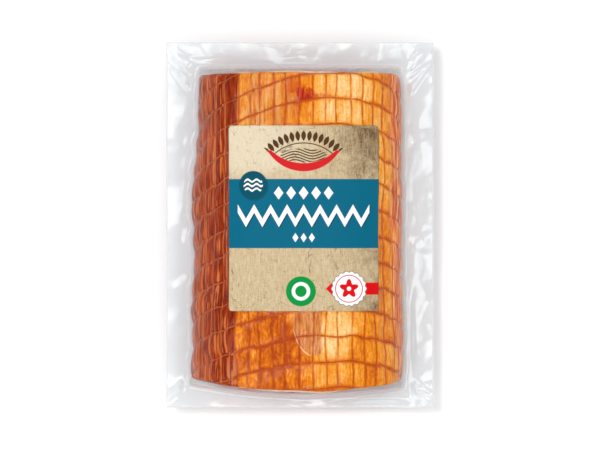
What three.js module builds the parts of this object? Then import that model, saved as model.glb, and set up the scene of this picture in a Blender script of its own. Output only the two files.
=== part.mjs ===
// A joint of smoked pork loin in a clear vacuum pouch, with a label on its front.
//
// Millimetres, +Z up. The pack lies on its back with the label facing up. +Y runs along the
// joint and +X across it. The origin is the middle of the pack's footprint, on the surface
// that it rests on.
//
// The loin is one solid. The pouch is two webs of film, welded round their border: each web
// is a flat fin round a dome that clings to the loin, up over its top or down under its back.
import * as THREE from "three";

// The pouch, measured over its fin.
const POUCH_WIDTH = 150;
const POUCH_LENGTH = 205;
const FILM = 0.4;
const GAP = 0.3; // between any two pieces that touch
const FIN_HEIGHT = 22; // of the weld, above the surface
const FIN_DROOP = 2; // how far the fin's outer edge hangs below the weld's root
const FIN_ROOT = 0.12; // where the film has turned from wall to fin, as a share of the fin's width

// The loin: how far it reaches each way from the origin, at its head (+Y) and its foot (-Y).
const LOIN = { head: 84.6, foot: -92.1, thickness: 61.5, endRadius: 5 };
const HEAD = { left: -56, right: 56, leftCorner: 2, rightCorner: 1.5 };
const FOOT = { left: -61, right: 58.5, leftCorner: 6.5, rightCorner: 4.5 };
const CROWN = { across: 2.6, up: 2.2 }; // superellipse powers of the upper half of a section
const BED = { across: 3.2, up: 2.4 }; // and of the lower half, which its weight flattens
const REST_SINK = 0.9; // how much of the lower half is pressed flat
const END_DOME = 1.2; // how far the middle of a cut end stands proud of its rim

const LABEL = { left: -39, right: 43, head: 55.2, foot: -47.8, corner: 1.5, thickness: 0.25 };

const { lerp, clamp } = THREE.MathUtils;

const power = (value, exponent) => Math.sign(value) * Math.abs(value) ** exponent;

// The sides of the loin at a share of its length, from 0 at the foot to 1 at the head.
function sidesAt(share) {
  const left = lerp(FOOT.left, HEAD.left, share);
  const right = lerp(FOOT.right, HEAD.right, share);
  return { middle: (left + right) / 2, half: (right - left) / 2 };
}

// The rim of a cut end, which bows outwards: its corners lie back from its middle.
function endAt(x, end) {
  const corners = end === 1 ? HEAD : FOOT;
  const back = x < 0 ? corners.leftCorner : corners.rightCorner;
  const reach = x < 0 ? corners.left : corners.right;
  const bow = back * Math.min(1, Math.abs(x / reach)) ** 2;
  return end === 1 ? LOIN.head - bow : LOIN.foot + bow;
}

const alongLoin = (x, share) => lerp(endAt(x, 0), endAt(x, 1), share);

// Height of the loin's upper (side 1) or lower (side -1) skin over the weld's level, at a
// share of the half-width, when the skin is moved outwards by offset.
function skinRise(shareAcross, side, offset) {
  const powers = side === 1 ? CROWN : BED;
  const most = side === 1 ? LOIN.thickness - FIN_HEIGHT : FIN_HEIGHT - FILM - GAP + REST_SINK;
  const left = Math.max(0, 1 - Math.abs(shareAcross) ** powers.across);
  return (most + offset) * left ** (1 / powers.up);
}

// A closed solid between a grid of points, row by row along +Y and point by point along +X, and
// the same grid moved by offset along its upward normals, or straight up along its border.
function plate(grid, offset) {
  const rows = grid.length;
  const columns = grid[0].length;
  const at = (row, column) => row * columns + column;
  const faces = [];
  for (let row = 0; row < rows - 1; row++) {
    for (let column = 0; column < columns - 1; column++) {
      const [a, b] = [at(row, column), at(row, column + 1)];
      const [c, d] = [at(row + 1, column), at(row + 1, column + 1)];
      faces.push(a, b, d, a, d, c);
    }
  }
  const near = grid.flat();
  const sheet = new THREE.BufferGeometry().setFromPoints(near).setIndex(faces);
  sheet.computeVertexNormals();

  const border = [
    ...Array.from({ length: columns - 1 }, (_, i) => at(0, i)),
    ...Array.from({ length: rows - 1 }, (_, i) => at(i, columns - 1)),
    ...Array.from({ length: columns - 1 }, (_, i) => at(rows - 1, columns - 1 - i)),
    ...Array.from({ length: rows - 1 }, (_, i) => at(rows - 1 - i, 0)),
  ];
  const onBorder = new Set(border);
  const far = near.map((point, i) => {
    const normal = new THREE.Vector3().fromBufferAttribute(sheet.getAttribute("normal"), i);
    if (onBorder.has(i)) normal.set(0, 0, 1);
    return point.clone().addScaledVector(normal, offset);
  });

  const other = near.length;
  for (let i = 0, count = faces.length; i < count; i += 3) {
    faces.push(other + faces[i], other + faces[i + 2], other + faces[i + 1]);
  }
  border.forEach((from, i) => {
    const to = border[(i + 1) % border.length];
    faces.push(from, other + to, to, from, other + from, other + to);
  });
  if (offset > 0) faces.reverse(); // the grid is then the lower face, so every triangle turns
  return new THREE.BufferGeometry().setFromPoints([...near, ...far]).setIndex(faces);
}

// The loin, lofted through closed sections from its foot to its head.
function loinGeometry() {
  const around = 52;
  const bodySections = 16;
  const roundSections = 3;

  // A section at a share of the length, drawn in from the skin by inset and moved along +Y.
  const section = (share, inset, shift) => {
    const { middle, half } = sidesAt(share);
    return Array.from({ length: around }, (_, i) => {
      const angle = (i / around) * 2 * Math.PI;
      const side = Math.sin(angle) >= 0 ? 1 : -1;
      const powers = side === 1 ? CROWN : BED;
      const shareAcross = power(Math.cos(angle), 2 / powers.across);
      const x = middle + (half - inset) * shareAcross;
      const z = FIN_HEIGHT + side * skinRise(shareAcross, side, -inset);
      const bed = FILM + GAP + inset * 0.5;
      return new THREE.Vector3(x, alongLoin(x, share) + shift, Math.max(z, bed));
    });
  };

  // The rounded edge of an end, out from its rim: end is 0 at the foot and 1 at the head.
  const roundedEdge = (end) =>
    Array.from({ length: roundSections }, (_, i) => {
      const turn = ((i + 1) / roundSections) * (Math.PI / 2);
      const inset = LOIN.endRadius * (1 - Math.cos(turn));
      const shift = LOIN.endRadius * (1 - Math.sin(turn)) * (end === 1 ? -1 : 1);
      return section(end, inset, shift);
    });

  // The middle of a cut end: smaller sections that dome outwards, round the tip.
  const tipAt = (end) => {
    const y = endAt(0, end) + (end === 1 ? END_DOME : -END_DOME);
    return new THREE.Vector3(0, y, (LOIN.thickness + FILM + GAP) / 2);
  };
  const domedFace = (end) =>
    [0.66, 0.33].map((scale) => {
      const tip = tipAt(end);
      return section(end, LOIN.endRadius, 0).map((rim) => {
        const x = lerp(tip.x, rim.x, scale);
        const dome = END_DOME * (1 - scale ** 2) * (end === 1 ? 1 : -1);
        return new THREE.Vector3(x, endAt(x, end) + dome, lerp(tip.z, rim.z, scale));
      });
    });

  const body = Array.from({ length: bodySections + 1 }, (_, i) => {
    const length = LOIN.head - LOIN.foot;
    const margin = LOIN.endRadius / length;
    return section(lerp(margin, 1 - margin, i / bodySections), 0, 0);
  });
  const sections = [
    ...domedFace(0).reverse(),
    ...roundedEdge(0).reverse(),
    ...body,
    ...roundedEdge(1),
    ...domedFace(1),
  ];

  const faces = [];
  for (let row = 0; row < sections.length - 1; row++) {
    for (let i = 0; i < around; i++) {
      const next = (i + 1) % around;
      const [a, b] = [row * around + i, row * around + next];
      const [c, d] = [a + around, b + around];
      faces.push(a, d, b, a, c, d);
    }
  }
  const points = sections.flat();
  for (const end of [0, 1]) {
    const ring = end === 0 ? 0 : (sections.length - 1) * around;
    const tip = points.push(tipAt(end)) - 1;
    for (let i = 0; i < around; i++) {
      const [from, to] = [ring + i, ring + ((i + 1) % around)];
      faces.push(...(end === 0 ? [tip, from, to] : [tip, to, from]));
    }
  }
  return new THREE.BufferGeometry().setFromPoints(points).setIndex(faces);
}

// The steps across a web: its left fin, the dome from side to side, and its right fin. fin is
// the share of the way out to the pouch's edge, and across is the share of the half-width.
function stepsAcross(side, count) {
  const powers = side === 1 ? CROWN : BED;
  const dome = Array.from({ length: count + 1 }, (_, i) => {
    const angle = Math.PI * (1 - i / count);
    return { fin: 0, across: power(Math.cos(angle), 2 / powers.across) };
  });
  const fin = [1, 0.55, FIN_ROOT];
  return [
    ...fin.map((share) => ({ fin: share, across: -1 })),
    ...dome,
    ...fin.map((share) => ({ fin: share, across: 1 })).reverse(),
  ];
}

// The steps along a web: the foot's fin, the wall up the foot's cut end, the body, the wall
// down the head's cut end, and the head's fin. rise is the share of the dome's height.
function stepsAlong(count) {
  const fin = [1, 0.55, FIN_ROOT];
  const wall = [0, 0.3, 0.6, 0.85];
  const body = Array.from({ length: count + 1 }, (_, i) => ({ fin: 0, share: i / count, rise: 1 }));
  const footWall = wall.map((rise) => ({ fin: 0, share: 0, rise }));
  const headWall = wall.map((rise) => ({ fin: 0, share: 1, rise })).reverse();
  return [
    ...fin.map((share) => ({ fin: share, share: 0, rise: 0 })),
    ...footWall,
    ...body,
    ...headWall,
    ...fin.map((share) => ({ fin: share, share: 1, rise: 0 })).reverse(),
  ];
}

const FILM_OUT = FILM + GAP + 0.3; // from the loin's skin to the outside of the film
const WALL_LEAN = 2; // how far out the foot of an end wall stands from its top
const HEEL = 0.5; // how much of the dome's height the first and last body rows lose

// A point on the outside of a web, at one step across and one step along.
function webPoint(side, across, along) {
  const { middle, half } = sidesAt(along.share);
  const wallX = middle + (half + FILM_OUT) * across.across;
  const edgeX = (POUCH_WIDTH / 2) * across.across;
  const x = lerp(wallX, edgeX, across.fin);

  const outwards = along.share < 0.5 ? -1 : 1;
  const lean = along.rise < 1 ? WALL_LEAN * (1 - along.rise) : 0;
  const onLoin = clamp(x, middle - half, middle + half);
  const skinY = alongLoin(onLoin, along.share);
  const atEnd = along.share === 0 || along.share === 1;
  const wallY = skinY + (atEnd ? outwards * (FILM_OUT + END_DOME + lean) : 0);
  const y = lerp(wallY, (outwards * POUCH_LENGTH) / 2, along.fin);

  const outness = Math.max(across.fin, along.fin);
  const finZ = FIN_HEIGHT - FIN_DROOP * outness ** 2 + side * (GAP / 2 + FILM);
  const heel = atEnd && along.rise === 1 ? HEEL : 0;
  const dome = across.fin > 0 ? 0 : skinRise(across.across, side, FILM_OUT - heel) * along.rise;
  const rise = Math.max(0, dome - (GAP / 2 + FILM));
  return new THREE.Vector3(x, y, Math.max(0, finZ + side * rise));
}

function webGeometry(side, countAcross, countAlong) {
  const across = stepsAcross(side, countAcross);
  const grid = stepsAlong(countAlong).map((along) => across.map((step) => webPoint(side, step, along)));
  return plate(grid, -side * FILM);
}

// The label lies on the front web and keeps to its curve. Their facets don't line up, so it is
// lifted by a little more than the gap.
const LABEL_LIFT = GAP + 0.2;

function labelGeometry() {
  const countAcross = 12;
  const countAlong = 12;
  const { left, right, head, foot, corner, thickness } = LABEL;
  const corners = [0, 0.3 * corner, corner];
  const inner = Array.from({ length: countAcross - 1 }, (_, i) =>
    lerp(left + corner, right - corner, (i + 1) / countAcross),
  );
  const columns = [...corners.map((d) => left + d), ...inner, ...corners.map((d) => right - d).reverse()];
  const grid = Array.from({ length: countAlong + 1 }, (_, row) =>
    columns.map((x) => {
      const inFromSide = Math.min(corner, x - left, right - x);
      const rounding = corner - Math.sqrt(corner ** 2 - (corner - inFromSide) ** 2);
      const y = lerp(foot + rounding, head - rounding, row / countAlong);
      const share = (y - LOIN.foot) / (LOIN.head - LOIN.foot);
      const { middle, half } = sidesAt(share);
      const shareAcross = (x - middle) / (half + FILM_OUT);
      const z = FIN_HEIGHT + skinRise(shareAcross, 1, FILM_OUT) + LABEL_LIFT + thickness;
      return new THREE.Vector3(x, y, z);
    }),
  );
  return plate(grid, -thickness);
}

function piece(name, geometry, material) {
  const mesh = new THREE.Mesh(geometry, material);
  mesh.name = name;
  return mesh;
}

const smokedMeat = new THREE.MeshStandardMaterial({ color: 0xd98a32, roughness: 0.35 });
const clearFilm = new THREE.MeshStandardMaterial({
  color: 0xe6e8ea,
  roughness: 0.12,
  transparent: true,
  opacity: 0.3,
  side: THREE.DoubleSide,
});
const labelPaper = new THREE.MeshStandardMaterial({ color: 0xd8c8a2, roughness: 0.55 });

const pack = new THREE.Group();
pack.add(
  piece("smoked_loin", loinGeometry(), smokedMeat),
  piece("pouch_front_web", webGeometry(1, 26, 14), clearFilm),
  piece("pouch_back_web", webGeometry(-1, 26, 14), clearFilm),
  piece("front_label", labelGeometry(), labelPaper),
);

export default pack;
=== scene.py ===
"""A joint of smoked pork loin in a clear vacuum pouch, with a plain label on its front.

The pack lies on its back on a pale floor, label up, and the camera looks straight down on it.
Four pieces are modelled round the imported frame: the loin with the imprint of the net that it was
smoked in, the front and back webs of the pouch, and the label. Lengths are in millimetres where
a name or comment says so, and meshes are in metres.
"""

import math

import bpy
import numpy as np
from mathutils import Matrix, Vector


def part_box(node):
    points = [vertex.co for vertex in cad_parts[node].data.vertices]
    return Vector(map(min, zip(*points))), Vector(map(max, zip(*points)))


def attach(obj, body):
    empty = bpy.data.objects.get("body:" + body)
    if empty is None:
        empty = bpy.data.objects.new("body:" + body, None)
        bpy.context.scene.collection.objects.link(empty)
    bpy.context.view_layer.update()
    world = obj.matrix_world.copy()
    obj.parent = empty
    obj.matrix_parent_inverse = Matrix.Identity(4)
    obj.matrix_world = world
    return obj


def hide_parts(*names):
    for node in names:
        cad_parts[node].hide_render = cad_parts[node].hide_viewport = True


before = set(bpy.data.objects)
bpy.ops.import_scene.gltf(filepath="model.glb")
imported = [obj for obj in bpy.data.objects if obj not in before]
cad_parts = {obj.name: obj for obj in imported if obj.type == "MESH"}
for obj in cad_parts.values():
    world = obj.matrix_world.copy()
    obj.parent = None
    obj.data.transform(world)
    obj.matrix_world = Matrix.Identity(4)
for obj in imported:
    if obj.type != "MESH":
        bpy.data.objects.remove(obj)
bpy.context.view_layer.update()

MM = 0.001


def box_mm(node):
    """A CAD node's lowest and highest corner, in millimetres."""
    low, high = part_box(node)
    return np.array(low) / MM, np.array(high) / MM


# ---- Driving dimensions, in millimetres, from the frame where it holds them ----

LOIN_LOW, LOIN_HIGH = box_mm("smoked_loin")
POUCH_LOW, POUCH_HIGH = box_mm("pouch_front_web")
LABEL_LOW, LABEL_HIGH = box_mm("front_label")

END_DOME = 1.2  # how far the middle of a cut end stands proud of its rim
HEAD_Y = LOIN_HIGH[1] - END_DOME
FOOT_Y = LOIN_LOW[1] + END_DOME
FOOT_SIDES = (-61.0, 57.3)
HEAD_SIDES = (-56.0, 55.3)
FOOT_CORNERS = (6.5, 4.5)  # how far the left and right corners lie back from an end's middle
HEAD_CORNERS = (0.9, 0.3)
END_RADIUS = 2.4  # of the edge round a cut end
LOIN_TOP = LOIN_HIGH[2]
WELD_Z = 22.0  # height of the pouch's weld
CROWN = (2.6, 2.2)  # superellipse powers of a section's upper half, across and up
BED = (3.2, 2.4)  # and of its lower half
FLOOR_GAP = 0.7  # the loin's underside above the floor
REST_SINK = 0.9  # how much lower a section would reach, were it not flattened by its own weight

HOOP_PITCH = 14.6
HOOP_SWING = (15.0, 24.0)  # how far a hoop of the net leans, at the foot and at the head
HOOP_PEAK = 18.0  # where round the girth a hoop is nearest to the head
HOOP_TOP = -61.4  # the Y that one of the hoops reaches there
STRAND_PITCH = 7.25
STRAND_SHIFT = -0.48  # how far the strands are turned from the middle of the back, in pitches
SEED = 20

rng = np.random.default_rng(SEED)


# ---- Small helpers ----


def smooth(low, high, value):
    """0 below low, 1 above high, and a smooth step between."""
    t = np.clip((value - low) / (high - low), 0, 1)
    return t * t * (3 - 2 * t)


def mix(a, b, share):
    return a + (b - a) * share


def ripples(wavelength, stretch=(1, 1, 1)):
    """Smooth seeded noise of about unit height: call it with coordinates in millimetres."""
    count = 14
    stretch = np.array(stretch, float)
    directions = rng.normal(size=(count, len(stretch)))
    directions /= np.linalg.norm(directions, axis=1, keepdims=True)
    turns = 2 * math.pi / (wavelength * rng.uniform(0.7, 1.5, count))
    offsets = rng.uniform(0, 2 * math.pi, count)
    vectors = directions * turns[:, None] / stretch

    def noise(*coordinates):
        total = 0.0
        for vector, offset in zip(vectors, offsets):
            total = total + np.cos(sum(v * c for v, c in zip(vector, coordinates)) + offset)
        return total * math.sqrt(2 / count) * 0.7

    return noise


def normals_of(points):
    """Unit normals of a grid of points, pointing to the left of the rows' direction."""
    along = np.gradient(points, axis=0)
    across = np.gradient(points, axis=1)
    normal = np.cross(across, along)
    return normal / np.maximum(np.linalg.norm(normal, axis=2, keepdims=True), 1e-9)


def mesh_object(name, points, faces, uv_maps=None, attributes=None):
    """A smooth-shaded object of points in millimetres. uv_maps holds one value pair for each
    corner of each face, and attributes one value for each point."""
    mesh = bpy.data.meshes.new(name)
    mesh.from_pydata((np.asarray(points) * MM).tolist(), [], faces)
    for label, values in (uv_maps or {}).items():
        layer = mesh.uv_layers.new(name=label)
        layer.data.foreach_set("uv", np.asarray(values, np.float32).ravel())
    for label, values in (attributes or {}).items():
        attribute = mesh.attributes.new(label, "FLOAT", "POINT")
        attribute.data.foreach_set("value", np.asarray(values, np.float32).ravel())
    mesh.shade_smooth()
    piece = bpy.data.objects.new(name, mesh)
    bpy.context.scene.collection.objects.link(piece)
    return piece


# ---- The loin's skin ----

SECTION_POINTS = 2400


def sides_at(share):
    """The section's middle and half width at a share of the way from the foot to the head."""
    left = mix(FOOT_SIDES[0], HEAD_SIDES[0], share)
    right = mix(FOOT_SIDES[1], HEAD_SIDES[1], share)
    return (left + right) / 2, (right - left) / 2


def onto_loin(x, share):
    middle, half = sides_at(share)
    return np.clip(x, middle - half, middle + half)


def end_at(x, end):
    """Y of a cut end's rim at x. The rim bows outwards: its corners lie back."""
    corners = HEAD_CORNERS if end == 1 else FOOT_CORNERS
    sides = HEAD_SIDES if end == 1 else FOOT_SIDES
    back = np.where(x < 0, corners[0], corners[1])
    reach = np.where(x < 0, sides[0], sides[1])
    bow = back * np.minimum(1, np.abs(x / reach)) ** 2
    return HEAD_Y - bow if end == 1 else FOOT_Y + bow


def along_loin(x, share):
    """Y at a share of the way from the foot's rim to the head's."""
    return mix(end_at(x, 0), end_at(x, 1), share)


def section(share, inset=0.0):
    """A closed cross-section as dense points x, z and their distance round the girth from the
    middle of the front, from the middle of the back round by the left side."""
    middle, half = sides_at(share)
    angle = np.linspace(-math.pi / 2, -math.pi * 5 / 2, SECTION_POINTS)
    upper = np.sin(angle) >= 0
    across_power = np.where(upper, CROWN[0], BED[0])
    up_power = np.where(upper, CROWN[1], BED[1])
    most = np.where(upper, LOIN_TOP - WELD_Z, WELD_Z - FLOOR_GAP + REST_SINK) - inset
    across = np.sign(np.cos(angle)) * np.abs(np.cos(angle)) ** (2 / across_power)
    rise = most * np.maximum(0, 1 - np.abs(across) ** across_power) ** (1 / up_power)
    x = middle + (half - inset) * across
    z = WELD_Z + np.where(upper, rise, -rise)
    z = np.maximum(z, FLOOR_GAP + inset * 0.5)
    steps = np.hypot(np.diff(x), np.diff(z))
    around = np.concatenate([[0], np.cumsum(steps)])
    front = np.interp(0, x[upper], around[upper])
    return x, z, around - front


def ring(share, count, inset=0.0):
    """count points evenly spaced round a section, and their girth coordinate."""
    x, z, around = section(share, inset)
    at = np.linspace(around[0], around[-1], count + 1)
    return np.interp(at, around, x), np.interp(at, around, z), at


# ---- The imprint of the net ----

GIRTH = np.ptp(section(0.5)[2])
STRANDS = int(round(GIRTH / STRAND_PITCH))
# Each line's own offset in pitches, its depth as a share, and the noise along which it wanders.
STRAND_JITTER = rng.uniform(-0.16, 0.16, STRANDS)
STRAND_DEPTH = rng.uniform(0.55, 1.15, STRANDS)
STRAND_WANDER = [ripples(38, (1,)) for _ in range(STRANDS)]
FIRST_HOOP = 4  # hoops counted below the one at HOOP_TOP
HOOPS = FIRST_HOOP + 16
HOOP_JITTER = rng.uniform(-0.05, 0.05, HOOPS)
HOOP_DEPTH = rng.uniform(0.75, 1.15, HOOPS)
HOOP_WANDER = [ripples(34, (1,)) for _ in range(HOOPS)]
STRAND_STRAY = 0.06  # how far the lines wander, in pitches
HOOP_STRAY = 0.035


def strand_phase(around, y):
    """How many lengthwise strands lie between the middle of the back and each point, counted
    the same way round at every section. It is whole at each strand."""
    turn = (around / GIRTH + 0.5) * STRANDS + STRAND_SHIFT
    phase = np.empty_like(turn)
    marks = np.arange(-1, STRANDS + 2)
    which = marks % STRANDS
    for row in range(turn.shape[0]):
        level = y[row].mean()
        wander = np.array([STRAND_WANDER[strand](level) for strand in which])
        places = marks + STRAND_JITTER[which] + STRAND_STRAY * wander
        phase[row] = np.interp(turn[row], places, marks)
    return phase


def hoop_phase(around, y):
    """How many hoops lie between the foot and each point. It is whole at each hoop."""
    swing = mix(*HOOP_SWING, (y - FOOT_Y) / (HEAD_Y - FOOT_Y))
    lean = swing * (1 - np.cos(2 * math.pi * (around - HOOP_PEAK) / GIRTH))
    level = (y + lean - HOOP_TOP) / HOOP_PITCH + FIRST_HOOP
    phase = np.empty_like(level)
    marks = np.arange(HOOPS)
    turn = 2 * math.pi * around / GIRTH
    for column in range(level.shape[1]):
        lap = GIRTH / 2 * np.cos(turn[0, column])
        wander = np.array([HOOP_WANDER[mark](lap) for mark in marks])
        places = marks + HOOP_JITTER + HOOP_STRAY * wander
        phase[:, column] = np.interp(level[:, column], places, marks)
    return phase


def off_line(phase):
    """Signed distance from the nearest line, as a share of the pitch."""
    return phase - np.round(phase)


def pillow(phase):
    """1 midway between two lines and 0 on them."""
    return 1 - (1 - 2 * np.abs(off_line(phase))) ** 2


# Under the label the relief is pressed towards one level, and keeps this share of its height.
PRESSED_LEVEL = 0.9
PRESSED_SHARE = 0.3


def label_share(x, y):
    """1 under the label and 0 well outside it."""
    room = 2.0
    inside_x = np.minimum(x - LABEL_LOW[0], LABEL_HIGH[0] - x)
    inside_y = np.minimum(y - LABEL_LOW[1], LABEL_HIGH[1] - y)
    return smooth(-room, 0, inside_x) * smooth(-room, 0, inside_y)


LUMPS = ripples(46)
DENTS = ripples(17)
CREASES = ripples(5.5, (1, 3.2, 1))
LUMP_HEIGHT = 0.7
DENT_HEIGHT = 0.28
CREASE_HEIGHT = 0.07
# The meat bulges between the hoops, most on the left flank, and a little between the strands.
HOOP_BULGE = 0.22
FLANK_BULGE = 0.8
STRAND_BULGE = 0.22
# Depth and width of the grooves that hoops and strands leave in the meat and in the film.
MEAT_GROOVES = ((0.55, 0.8), (0.30, 0.7))
FILM_GROOVES = ((0.20, 1.7), (0.06, 1.4))


def groove(phase, pitch, strength, shape):
    """Depth of the grooves along the lines of one kind."""
    depth, width = shape
    from_line = np.abs(off_line(phase)) * pitch
    return depth * strength * np.exp(-((from_line / width) ** 2))


def relief(points, around, strand, hoop, film=False):
    """Height of the skin over the plain section, in millimetres. The film over it bridges the
    grooves and is smoother."""
    x, y, z = np.moveaxis(points, 2, 0)
    flank = smooth(-52, -70, around) + 0.35 * smooth(60, 80, around)
    height = LUMP_HEIGHT * LUMPS(x, y, z) + DENT_HEIGHT * DENTS(x, y, z)
    height = height + (HOOP_BULGE + FLANK_BULGE * flank) * pillow(hoop) + STRAND_BULGE * pillow(strand)
    hoop_strength = HOOP_DEPTH[np.clip(np.round(hoop).astype(int), 0, HOOPS - 1)]
    strand_strength = STRAND_DEPTH[np.round(strand).astype(int) % STRANDS]
    hoop_shape, strand_shape = FILM_GROOVES if film else MEAT_GROOVES
    height = height - groove(hoop, HOOP_PITCH, hoop_strength, hoop_shape)
    height = height - groove(strand, STRAND_PITCH, strand_strength, strand_shape)
    if not film:
        height = height + CREASE_HEIGHT * CREASES(x, y, z)
    pressed = PRESSED_LEVEL + PRESSED_SHARE * (height - PRESSED_LEVEL)
    return mix(height, pressed, label_share(x, y) * (z > WELD_Z))


# ---- The loin ----

LOIN_COLUMNS = 320
LOIN_ROWS = 206
EDGE_ROWS = 5
FACE_RINGS = 20
FACE_DEPTH = 26.0  # how deep under the skin a cut face's middle counts as lying
EDGE_DEPTH = 0.4  # and a point of the rounded edge, as a share of its inset
EDGE_RELIEF = 0.35  # the share of the relief that this edge keeps
FACE_RELIEF = 0.35  # height of a cut face's own unevenness


def build_loin():
    margin = END_RADIUS / (HEAD_Y - FOOT_Y)

    rows = []  # share of the length, inset from the full section, and shift along Y
    for turn in np.linspace(math.pi / 2, 0, EDGE_ROWS, endpoint=False):
        rows.append((0, END_RADIUS * (1 - math.cos(turn)), END_RADIUS * (1 - math.sin(turn))))
    for share in np.linspace(margin, 1 - margin, LOIN_ROWS):
        rows.append((share, 0.0, 0.0))
    for turn in np.linspace(0, math.pi / 2, EDGE_ROWS + 1)[1:]:
        rows.append((1, END_RADIUS * (1 - math.cos(turn)), -END_RADIUS * (1 - math.sin(turn))))

    grid = []
    around = []
    depths = []
    for share, inset, shift in rows:
        x, z, at = ring(share, LOIN_COLUMNS, inset)
        y = along_loin(x, share) + shift
        grid.append(np.stack([x, y, z], axis=1))
        around.append(at * GIRTH / (at[-1] - at[0]))
        depths.append(inset * EDGE_DEPTH)
    grid = np.array(grid)
    around = np.array(around)
    strand = strand_phase(around, grid[:, :, 1])
    hoop = hoop_phase(around, grid[:, :, 1])

    fade = np.array([1 - smooth(0.3, END_RADIUS, inset) for _, inset, _ in rows])
    height = relief(grid, around, strand, hoop)
    outward = normals_of(grid)
    outward[0] = outward[1]
    outward[-1] = outward[-2]
    grid = grid + outward * (height * mix(EDGE_RELIEF, 1, fade)[:, None])[:, :, None]
    grid[:, :, 2] = np.maximum(grid[:, :, 2], FLOOR_GAP * 0.7)
    grid[:, -1] = grid[:, 0]

    # The cut faces: rings that shrink to the middle and dome outwards.
    def cut_face(rim, end):
        middle = np.array([rim[:, 0].mean(), 0, rim[:, 2].mean()])
        rings = []
        for share in np.linspace(1, 0, FACE_RINGS + 1)[1:-1]:
            x = mix(middle[0], rim[:, 0], share)
            z = mix(middle[2], rim[:, 2], share)
            out = 1 if end == 1 else -1
            bow = end_at(x, end) - end_at(rim[:, 0], end)
            dome = END_DOME * (1 - share**2) + FACE_RELIEF * DENTS(x, 40 * end + 0 * x, z)
            y = rim[:, 1] + bow + out * dome * smooth(1, 0.85, share)
            rings.append(np.stack([x, y, z], axis=1))
        return rings

    foot = cut_face(grid[0], 0)
    head = cut_face(grid[-1], 1)
    shares = np.linspace(1, 0, FACE_RINGS + 1)[1:-1]
    inward = [END_RADIUS * EDGE_DEPTH + FACE_DEPTH * (1 - share) for share in shares]
    layers = foot[::-1] + list(grid) + head
    depth = inward[::-1] + depths + inward

    def over_faces(values):
        """The first and last rows repeated over the cut faces."""
        before = np.repeat(values[:1], len(foot), 0)
        after = np.repeat(values[-1:], len(head), 0)
        return np.concatenate([before, values, after])

    strand = over_faces(strand)
    hoop = over_faces(hoop)
    around = over_faces(around)

    points = np.concatenate([layer[:-1] for layer in layers])
    foot_tip = layers[0][:-1].mean(0)
    head_tip = layers[-1][:-1].mean(0)
    points = np.concatenate([points, [foot_tip, head_tip]])
    faces = []
    corners = []  # the row and column of each corner of each face

    for row in range(len(layers) - 1):
        here = row * LOIN_COLUMNS
        above = here + LOIN_COLUMNS
        for i in range(LOIN_COLUMNS):
            j = (i + 1) % LOIN_COLUMNS
            faces.append((here + i, here + j, above + j, above + i))
            corners += [(row, i), (row, i + 1), (row + 1, i + 1), (row + 1, i)]
    tip = len(points) - 2
    last = len(layers) - 1
    for i in range(LOIN_COLUMNS):
        j = (i + 1) % LOIN_COLUMNS
        faces.append((tip, j, i))
        corners += [(0, i), (0, i + 1), (0, i)]
        faces.append((tip + 1, last * LOIN_COLUMNS + i, last * LOIN_COLUMNS + j))
        corners += [(last, i), (last, i), (last, i + 1)]
    net_uv = [(strand[at], hoop[at]) for at in corners]
    skin_uv = [(around[row, column], layers[row][column, 1]) for row, column in corners]
    depth = np.concatenate([np.repeat(depth, LOIN_COLUMNS), [FACE_DEPTH, FACE_DEPTH]])
    return mesh_object("loin", points, faces, {"net": net_uv, "skin": skin_uv}, {"depth": depth})


# ---- The pouch ----

FILM_THICKNESS = 0.12
FILM_GAP = 0.3  # between the meat and the film over it
WEB_GAP = 0.1  # between the two webs at the weld
ROOT_RADIUS = 2.6  # where a web turns from wall to fin
WALL_LEAN = 1.6  # how far out a wall stands at its foot
END_ROOM = 1.9  # between a cut end's rim and the film down it
SIDE_FIN_COLUMNS = 20
ROOT_STEPS = 4
TOP_STEPS = 5
DOME_COLUMNS = 142
BODY_ROWS = 150
WALL_ROWS = 24
FIN_ROWS = (14, 22)  # at the foot and at the head
LEAST_Z = 0.02  # no film reaches under the floor


def half_section(share, side):
    """The upper (side 1) or lower (side -1) half of a section moved out by the film's gap, from
    left to right, as dense points x, z and their girth coordinate."""
    x, z, around = section(share)
    count = len(x)
    left, right = count // 4, 3 * count // 4
    if side == 1:
        order = np.arange(left, right + 1)
    else:
        order = np.concatenate([np.arange(left, -1, -1), np.arange(count - 2, right - 1, -1)])
    x, z, around = x[order], z[order], around[order]
    slope_x, slope_z = np.gradient(x), np.gradient(z)
    size = np.maximum(np.hypot(slope_x, slope_z), 1e-9)
    gap = FILM_GAP + FILM_THICKNESS
    return x - side * gap * slope_z / size, z + side * gap * slope_x / size, around


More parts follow.
